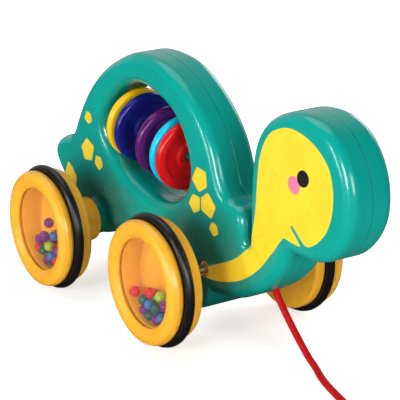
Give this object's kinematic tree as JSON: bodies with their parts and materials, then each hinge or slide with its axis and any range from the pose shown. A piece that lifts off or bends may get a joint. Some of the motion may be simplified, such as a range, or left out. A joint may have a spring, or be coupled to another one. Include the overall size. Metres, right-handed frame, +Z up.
{
  "type": "pull along toy",
  "caption": "Pull along toy shaped as an arched animal: hollow two-part plastic body, rattle wheels with beads behind clear windows, rings sliding on a rod in the arch, and a red pull cord.",
  "frame": {"origin": "on the ground, below the middle of the whole toy's box, cord included", "axes": "+X to the head and the pull cord, +Y to the animal's left, +Z up"},
  "size_m": [0.3774, 0.092, 0.1176],
  "materials": {
    "body_teal": "glossy moulded, soft wide highlights",
    "screw_steel": "plain zinc-plated",
    "bush_orange": "plain moulded",
    "cord_red": "round braided cord",
    "axle_steel": "plain drawn",
    "wheel_orange": "glossy moulded",
    "window_clear": "clear plastic disc",
    "tyre_black": "smooth satin rubber",
    "bead_red": "glossy bead",
    "bead_green": "glossy bead",
    "bead_blue": "glossy bead",
    "bead_purple": "glossy bead",
    "ring_yellow": "glossy moulded",
    "ring_blue": "glossy moulded",
    "ring_purple": "glossy moulded",
    "ring_cyan": "glossy moulded",
    "ring_red": "glossy moulded"
  },
  "bodies": {
    "body": {"body_half_right": "body_teal", "body_half_left": "body_teal", "body_screw_1": "screw_steel", "body_screw_2": "screw_steel", "body_screw_3": "screw_steel", "body_screw_4": "screw_steel", "body_screw_5": "screw_steel", "body_screw_6": "screw_steel", "axle_bush_front_right": "bush_orange", "axle_bush_front_left": "bush_orange", "axle_bush_rear_right": "bush_orange", "axle_bush_rear_left": "bush_orange", "cord_stopper_knot": "cord_red"},
    "front_wheels": {"front_axle": "axle_steel", "wheel_back_front_right": "wheel_orange", "wheel_front_front_right": "wheel_orange", "wheel_window_front_right": "window_clear", "tyre_front_right": "tyre_black", "wheel_back_front_left": "wheel_orange", "wheel_front_front_left": "wheel_orange", "wheel_window_front_left": "window_clear", "tyre_front_left": "tyre_black"},
    "rear_wheels": {"rear_axle": "axle_steel", "wheel_back_rear_right": "wheel_orange", "wheel_front_rear_right": "wheel_orange", "wheel_window_rear_right": "window_clear", "tyre_rear_right": "tyre_black", "wheel_back_rear_left": "wheel_orange", "wheel_front_rear_left": "wheel_orange", "wheel_window_rear_left": "window_clear", "tyre_rear_left": "tyre_black"},
    "beads_front_right": {"bead_pile_front_right": "bead_red"},
    "beads_front_left": {"bead_pile_front_left": "bead_green"},
    "beads_rear_right": {"bead_pile_rear_right": "bead_blue"},
    "beads_rear_left": {"bead_pile_rear_left": "bead_purple"},
    "rod": {"ring_rod": "body_teal"},
    "yellow_ring": {"ring_yellow": "ring_yellow"},
    "blue_ring": {"ring_blue": "ring_blue"},
    "purple_ring": {"ring_purple": "ring_purple"},
    "cyan_ring": {"ring_cyan": "ring_cyan"},
    "red_ring": {"ring_red": "ring_red"},
    "cord_1": {"cord_length_1": "cord_red"},
    "cord_2": {"cord_length_2": "cord_red"},
    "cord_3": {"cord_length_3": "cord_red"},
    "cord_4": {"cord_length_4": "cord_red", "cord_end_knot": "cord_red"}
  },
  "joints": [
    {"name": "front_axle_spin", "type": "hinge", "parent": "body", "child": "front_wheels", "pos_m": [-0.0535, 0, 0.03], "axis": [0, 1, 0], "continuous": true},
    {"name": "rear_axle_spin", "type": "hinge", "parent": "body", "child": "rear_wheels", "pos_m": [-0.147, 0, 0.03], "axis": [0, 1, 0], "continuous": true},
    {"name": "beads_front_right_roll", "type": "hinge", "parent": "body", "child": "beads_front_right", "pos_m": [-0.0535, -0.038, 0.03], "axis": [0, 1, 0], "range_deg": [-30, 30]},
    {"name": "beads_front_left_roll", "type": "hinge", "parent": "body", "child": "beads_front_left", "pos_m": [-0.0535, 0.038, 0.03], "axis": [0, 1, 0], "range_deg": [-30, 30]},
    {"name": "beads_rear_right_roll", "type": "hinge", "parent": "body", "child": "beads_rear_right", "pos_m": [-0.147, -0.038, 0.03], "axis": [0, 1, 0], "range_deg": [-30, 30]},
    {"name": "beads_rear_left_roll", "type": "hinge", "parent": "body", "child": "beads_rear_left", "pos_m": [-0.147, 0.038, 0.03], "axis": [0, 1, 0], "range_deg": [-30, 30]},
    {"name": "rod_spin", "type": "hinge", "parent": "body", "child": "rod", "pos_m": [-0.102, 0, 0.07675], "axis": [0.9893, 0, -0.1461], "continuous": true},
    {"name": "yellow_ring_slide", "type": "slide", "parent": "rod", "child": "yellow_ring", "axis": [0.9893, 0, -0.1461], "range_m": [-0.0004, 0.00177]},
    {"name": "blue_ring_slide", "type": "slide", "parent": "rod", "child": "blue_ring", "axis": [0.9893, 0, -0.1461], "range_m": [-0.00177, 0.0139]},
    {"name": "purple_ring_slide", "type": "slide", "parent": "rod", "child": "purple_ring", "axis": [0.9893, 0, -0.1461], "range_m": [-0.0139, 0.00723]},
    {"name": "cyan_ring_slide", "type": "slide", "parent": "rod", "child": "cyan_ring", "axis": [0.9893, 0, -0.1461], "range_m": [-0.00723, 0.00036]},
    {"name": "red_ring_slide", "type": "slide", "parent": "rod", "child": "red_ring", "axis": [0.9893, 0, -0.1461], "range_m": [-0.00036, 0.0046]},
    {"name": "cord_lift", "type": "hinge", "parent": "body", "child": "cord_1", "pos_m": [-0.0153, 0, 0.028], "axis": [0, -1, 0], "range_deg": [0, 45]},
    {"name": "cord_swing_1", "type": "hinge", "parent": "cord_1", "child": "cord_2", "pos_m": [0.019, -0.0028, 0.00175], "axis": [0, 0, 1], "range_deg": [-40, 40]},
    {"name": "cord_swing_2", "type": "hinge", "parent": "cord_2", "child": "cord_3", "pos_m": [0.065, -0.016, 0.00175], "axis": [0, 0, 1], "range_deg": [-40, 40]},
    {"name": "cord_swing_3", "type": "hinge", "parent": "cord_3", "child": "cord_4", "pos_m": [0.115, -0.019, 0.00175], "axis": [0, 0, 1], "range_deg": [-40, 40]}
  ]
}
